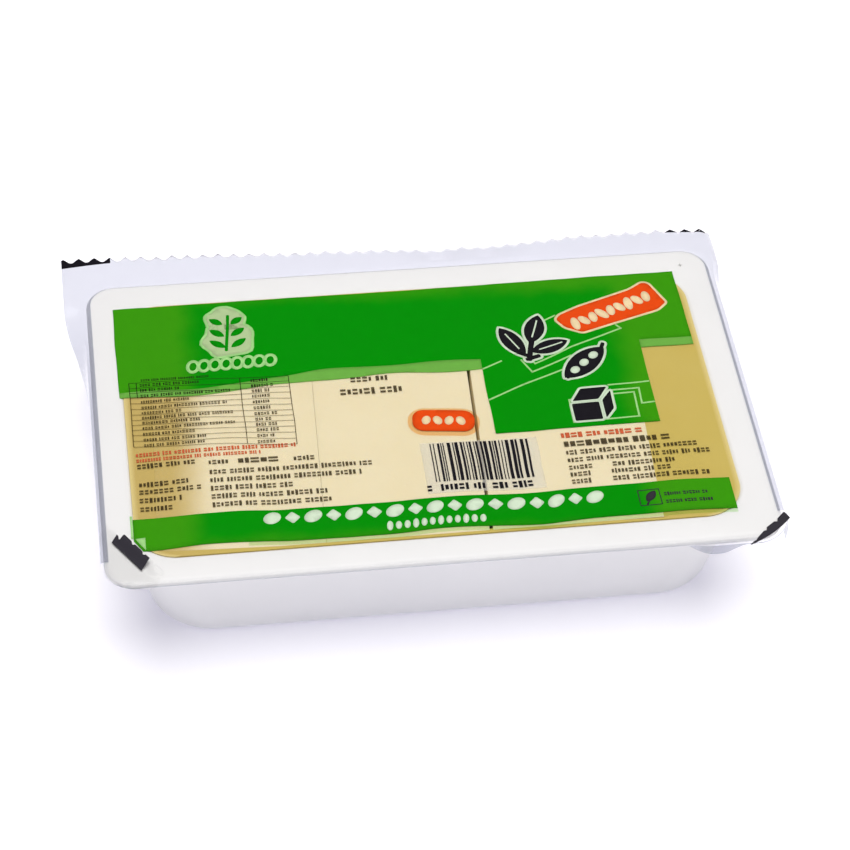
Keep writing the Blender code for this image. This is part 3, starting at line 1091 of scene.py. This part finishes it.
def draw_motifs(art):
    """Three brush motifs, one above the other: a sprig with three leaves, a pod with three beans, and a cut
    block."""
    add_oval(art, 31.2, 24.6, 14.4, 6.0, turn=116, point=0.35)
    add_oval(art, 38.9, 29.6, 13.0, 6.2, turn=70, point=0.35)
    add_oval(art, 42.4, 21.6, 12.4, 5.4, turn=18, point=0.35)
    for x, y, length, width, turn in (
        (36.3, 20.4, 9.5, 1.7, 76), (33.9, 18.8, 4.6, 1.4, 150), (36.6, 17.2, 5.0, 1.5, 20),
    ):
        add_bar(art, x, y, length, width, radius=0.6, turn=turn)
    add_oval(art, 52.0, 13.6, 18.6, 8.4, turn=40, point=0.3)
    add_bar(art, 58.6, 19.8, 4.0, 1.3, radius=0.5, turn=66)
    add_bar(art, 46.9, 8.0, 3.2, 0.9, radius=0.3, turn=20)
    add_shape(art, [(45.2, -10.8), (53.8, -10.8), (53.8, -3.6), (45.2, -3.6)], radius=0.5)
    add_shape(art, [(45.6, -2.5), (53.8, -2.5), (57.0, 2.4), (48.8, 2.4)], radius=0.5)
    add_shape(art, [(54.9, -10.4), (57.9, -6.6), (57.9, 0.8), (54.9, -3.0)], radius=0.5)


def make_motifs(black, white):
    for name, margin, depth, ink, slot in (
        ("motif_outlines", 0.8, WHITE_DEPTH - 0.01, white, "print_white"),
        ("brush_motifs", 0, BLACK_DEPTH, black, "print_black"),
    ):
        art = bmesh.new()
        draw_motifs(art)
        grow(art, margin)
        ink_piece(name, art, depth, ink)
    art = bmesh.new()
    for x, y, turn in ((31.2, 24.8, 116), (39.0, 29.8, 70), (42.8, 21.8, 18)):
        add_bar(art, x, y, 8, 0.5, radius=0.2, turn=turn)
    for x, y in ((48.6, 10.7), (52.0, 13.6), (55.4, 16.5)):
        add_oval(art, x, y, 3.4, 2.8, turn=40)
    ink_piece("motif_highlights", art, 0.09, white)


def make_lozenge(red, cream):
    """A red plate with a cream edge and uneven sides across the panel, and a row of pale beans on it."""
    x, y, turn = 65.2, 36.8, 22.6
    axis = Vector((cos(radians(turn)), sin(radians(turn))))
    outline = [
        (-19.2, 4.0), (-18.4, -0.6), (-14.6, -5.4), (12.6, -7.8), (17.0, -6.2), (16.6, 4.2), (14.6, 5.8),
        (9.4, 4.8), (-9.4, 6.0), (-17.0, 5.4),
    ]
    for name, margin, depth, ink, slot in (
        ("lozenge_edge", 0.3, RED_DEPTH + 0.01, cream, "print_white"),
        ("lozenge", -0.5, WHITE_DEPTH, red, "print_red"),
    ):
        art = bmesh.new()
        add_shape(art, outline, x, y, radius=1.0, turn=turn)
        grow(art, margin)
        ink_piece(name, art, depth, ink)
    beans = bmesh.new()
    for k in range(9):
        spot = Vector((x, y - 0.8)) + axis * 3.3 * (k - 4.2)
        add_oval(beans, *spot, 2.8, 4.6 if k % 3 else 5.6, turn=turn + (22 if k % 2 else -14))
    ink_piece("lozenge_beans", beans, BLACK_DEPTH, cream)


def draw_cloud(art):
    add_oval(art, -57.2, 42.6, 12.0, 11.4, lumps=0.22)
    add_oval(art, -56.8, 34.2, 15.4, 15.0, lumps=0.22)


def make_crest(green, cloud, pale):
    """A pale cloud with a pale edge and a green sprig, over a row of pale rings."""
    for name, margin, depth, ink, slot in (
        ("crest_edge", 0.8, LINE_DEPTH + 0.02, pale, "print_light_green"),
        ("crest_cloud", 0, LINE_DEPTH, cloud, "print_light_green"),
    ):
        art = bmesh.new()
        draw_cloud(art)
        grow(art, margin)
        if margin:
            for k in range(8):
                add_oval(art, -68.6 + 3.4 * k, 23.4 + 0.1 * k, 4.4, 5.8, turn=-12)
        ink_piece(name, art, depth, ink)
    sprig = bmesh.new()
    add_bar(sprig, -57.0, 37.0, 16, 1.0, radius=0.4, turn=84)
    for y, size in ((32.4, 6.0), (37.2, 5.6), (42.2, 4.8)):
        for side in (-1, 1):
            add_oval(sprig, -57.0 + side * 3.3, y, size, 2.5, turn=90 - side * 55, point=0.4)
    for k in range(8):
        add_oval(sprig, -68.6 + 3.4 * k, 23.4 + 0.1 * k, 2.2, 3.4, turn=-12)
    ink_piece("crest_sprig", sprig, BLACK_DEPTH, green)


def make_table(line, rng):
    """A ruled table, a little out of true, with greeked entries."""
    rows = 12
    pitch = 2.31
    back = 17.6
    middle = (ROW_LEFT + ROW_RIGHT) / 2
    art = bmesh.new()

    def rule(row, x):
        return back - row * pitch - (0.03 + 0.003 * row) * (x - middle) + 0.2 * sin(x / 6 + row)

    for row in range(rows + 1):
        add_strip(
            art, spread(ROW_LEFT, ROW_RIGHT), lambda x: rule(row, x) - 0.08, lambda x: rule(row, x) + 0.08
        )
    for x, last in ((ROW_LEFT, rows), (-54.8, rows), (ROW_RIGHT, rows), (-86.4, 3)):
        top, bottom = rule(0, x), rule(last, x)
        add_bar(art, x, (top + bottom) / 2, 0.24, top - bottom)
    for row in range(rows):
        right = -85 + rng.choice((12, 15, 18, 26, 28))
        add_words(art, rng, -85.4, right, rule(row + 0.5, -76), 1.25)
        add_words(art, rng, -51.6, -46 + rng.choice((0, 1.2)), rule(row + 0.5, -49), 1.35)
    add_words(art, rng, -85, -64, rule(-0.5, -74), 1.0)
    ink_piece("table", art, LINE_DEPTH, line)


def make_small_print(line, red, rng):
    """Rows of greeked text: ingredients at the left, an address block at the right, and a date stamp."""
    art = bmesh.new()
    for y, left, right in (
        (-16.6, -88.2, -70.2), (-24.0, -88.2, -73), (-27.0, -88.2, -69.9), (-30.4, -88.2, -75),
        (-33.9, -88.2, -77.4), (-17.4, -67.1, -59.6), (-17.8, -41.6, -35.5), (-21.4, -67.1, -18.1),
        (-24.7, -67.1, -21.5), (-28.0, -67.1, -41.9), (-31.3, -67.1, -33), (-34.6, -67.1, -31.5),
    ):
        add_words(art, rng, left, right, y, 2.0)
    add_words(art, rng, -58.4, -42.6, -17.4, 2.4, weight=1.9)
    add_words(art, rng, 39.8, 72.5, -19.9, 2.4, weight=1.9)
    for y, left, right in (
        (-23.3, 39.9, 81), (-26.3, 39.9, 84), (-29.3, 39.9, 48.7), (-29.3, 53.3, 72.4),
        (-32.1, 39.9, 47.4), (-32.1, 52.6, 70.7), (-35.0, 39.9, 46.5), (-35.0, 52.5, 82.8),
    ):
        add_words(art, rng, left, right, y, 1.95)
    add_words(art, rng, -21, -9, 13.1, 2.4)
    add_words(art, rng, -24.6, -5.2, 8, 2.8)
    ink_piece("small_print", art, LINE_DEPTH, line)

    art = bmesh.new()
    add_words(art, rng, -88.2, -40.4, -12.0, 1.6)
    add_words(art, rng, -88.2, -51, -14.2, 1.4)
    add_words(art, rng, 39.6, 65.8, -16.3, 2.1, weight=1.5)
    ink_piece("red_print", art, RED_DEPTH, red)


def make_barcode(black, ground_ink, rng):
    """A bar pattern of no number, on a pale ground, with a row of blocks under it."""
    left, right, back, front = -0.5, 30.1, -16.2, -31.7
    ground = bmesh.new()
    add_bar(ground, 14.3, -25.9, 35.6, 20.4)
    ink_piece("barcode_ground", ground, PALE_DEPTH, ground_ink)
    art = bmesh.new()
    unit = 0.33
    x = left
    while x < right - 2 * unit:
        width = unit * rng.choice((1, 1, 2, 2, 3))
        add_bar(art, x + width / 2, (back + front) / 2, width, back - front)
        x += width + unit * rng.choice((1, 1, 2, 3))
    for start, end in ((left - 3, left - 1), (left + 1.2, 14), (16, right - 1)):
        add_words(art, rng, start, end, -34.0, 2.6)
    ink_piece("barcode", art, LINE_DEPTH, black)


def make_pill(red, glow, white):
    """A red pill with a soft glow round it and four pale beans on it."""
    x, y = 5.0, -6.9
    art = bmesh.new()
    add_bar(art, x, y - 0.5, 22, 11.4, radius=5.2, turn=-6)
    ink_piece("pill_glow", art, PALE_DEPTH + 0.01, glow)
    art = bmesh.new()
    add_bar(art, x, y, 19.0, 8.8, radius=3.4, turn=-6)
    ink_piece("pill", art, RED_DEPTH, red)
    art = bmesh.new()
    for k in range(4):
        add_oval(art, x - 5.2 + 3.5 * k, y + 0.6 - 0.38 * k, 2.7, 3.7, turn=18 if k % 2 else -22)
    ink_piece("pill_beans", art, LINE_DEPTH, white)


def make_front_row(white, line):
    """On the front band: a row of pale beans and diamonds, a finer row under it, a leaf badge and two rows
    of fine print."""
    art = bmesh.new()
    count = 17
    for k in range(count):
        x = -50.2 + 96 * k / (count - 1)
        y = -41 - 0.05 * k
        if k % 2:
            add_bar(art, x, y, 3.4, 3.4, radius=0.6, turn=45)
        else:
            add_oval(art, x, y, 5.8, 4.2, turn=34)
    for k in range(12):
        add_oval(art, -16.4 + 2.55 * k, -46.9, 1.8, 3.0 if k % 3 else 3.6, turn=-8)
    ink_piece("front_row", art, WHITE_DEPTH, white)

    art = bmesh.new()
    for x, y, length, height in (
        (61.7, -40.8, 6.6, 0.3), (61.7, -46.8, 6.6, 0.3), (58.5, -43.8, 0.3, 6.2), (64.9, -43.8, 0.3, 6.2),
    ):
        add_bar(art, x, y, length, height)
    add_oval(art, 62.1, -43.3, 5.0, 2.7, turn=50, point=0.35)
    add_bar(art, 61.0, -45.6, 2.4, 0.6, turn=60)
    rng = Random(5)
    add_words(art, rng, 66.2, 80, -43, 1.4)
    add_words(art, rng, 66.2, 80.6, -46, 1.4)
    ink_piece("front_badge", art, LINE_DEPTH, line)


def make_back_marks(ink, fine_ink):
    """Registration marks at the back corners: black up to the toothed edge, on the sheet's upper face."""
    art = bmesh.new()
    fine = 0.4
    add_strip(
        art, spread(SHEET_LEFT + 0.1, -91.3, fine),
        lambda x: SHEET_BACK - 2.2 + 0.1 * (x - SHEET_LEFT), lambda x: sheet_edge(x) + 0.04,
    )
    for tooth in (18.5, 19.5, 20.5):
        tip = tooth * TOOTH_PITCH
        add_strip(
            art, spread(tip - 1.95, tip + 1.95, fine), SHEET_BACK - 0.1, lambda x: sheet_edge(x) + 0.04
        )
    for vert in art.verts:
        vert.co = lay(vert.co.x, vert.co.y, 0.02)
    marks = new_piece("back_marks", art, ink)
    thicken(marks, INK_THICKNESS)

    cross = bmesh.new()
    for length, height in ((1.4, 0.14), (0.14, 1.4)):
        add_bar(cross, 90.7, 54.2, length, height)
    ink_piece("register_cross", cross, LINE_DEPTH, fine_ink)


make_camera()
make_studio()
make_tray()
make_blocks(bean_curd())
make_whey(cloudy_whey())
welded_film = clear_film("welded_film", "#FDFDFD", 0.0, "#FFFFFF")
free_film = clear_film("free_film", "#E7E8EC", 0.05, "#E6E6EE")
make_film(welded_film, free_film)

black_ink = printing_ink("black_ink", "#1C1A20", "#1A1A1C", 0.97)
mark_ink = printing_ink("grey_black_ink", "#37353C", "#2A2A2E", 0.97)
line_ink = printing_ink("fine_black_ink", "#2E2820", "#F2EFE8", 0.42)
green_ink = printing_ink("green_ink", "#009702", "#1C8A18", 0.87, over_whey="#3EA00C")
strip_ink = printing_ink("thin_green_ink", "#86CC5C", "#C8EC98", 0.6)
tint_ink = printing_ink("pale_tint_ink", "#E2E6C4", "#F5FCF1", 0.0)
red_ink = printing_ink("red_ink", "#EC5014", "#F06038", 0.9)
fine_red_ink = printing_ink("fine_red_ink", "#E87850", "#F8CCA8", 0.6)
glow_ink = printing_ink("orange_glow_ink", "#FFC090", "#FFF3E4", 0.0)
white_ink = printing_ink("white_ink", "#E0F2DA", "#E8F0D8", 0.85)
cream_ink = printing_ink("cream_ink", "#FAE4B8", "#F4ECD8", 0.85)
cloud_ink = printing_ink("grey_green_ink", "#BCD4A0", "#D8ECC8", 0.85)
ground_ink = printing_ink("thin_white_ink", "#FFFFFA", "#FFFFFF", 0.16)
# Pale green ink for the fret and the crest's edge, also used for the painted highlight at the folded front
# left corner.
pale_green_ink_and_glare = printing_ink("pale_green_ink_and_glare", "#B2E898", "#D0F0C0", 0.85)
make_left_ear(welded_film, mark_ink)
make_right_ear(welded_film, mark_ink)
make_fields(green_ink, strip_ink, tint_ink, pale_green_ink_and_glare)
make_fret(pale_green_ink_and_glare)
make_motifs(black_ink, white_ink)
make_lozenge(red_ink, cream_ink)
make_crest(green_ink, cloud_ink, pale_green_ink_and_glare)
make_table(line_ink, Random(7))
make_small_print(line_ink, fine_red_ink, Random(12))
make_barcode(black_ink, ground_ink, Random(4))
make_pill(red_ink, glow_ink, cream_ink)
make_front_row(white_ink, mark_ink)
make_back_marks(black_ink, line_ink)
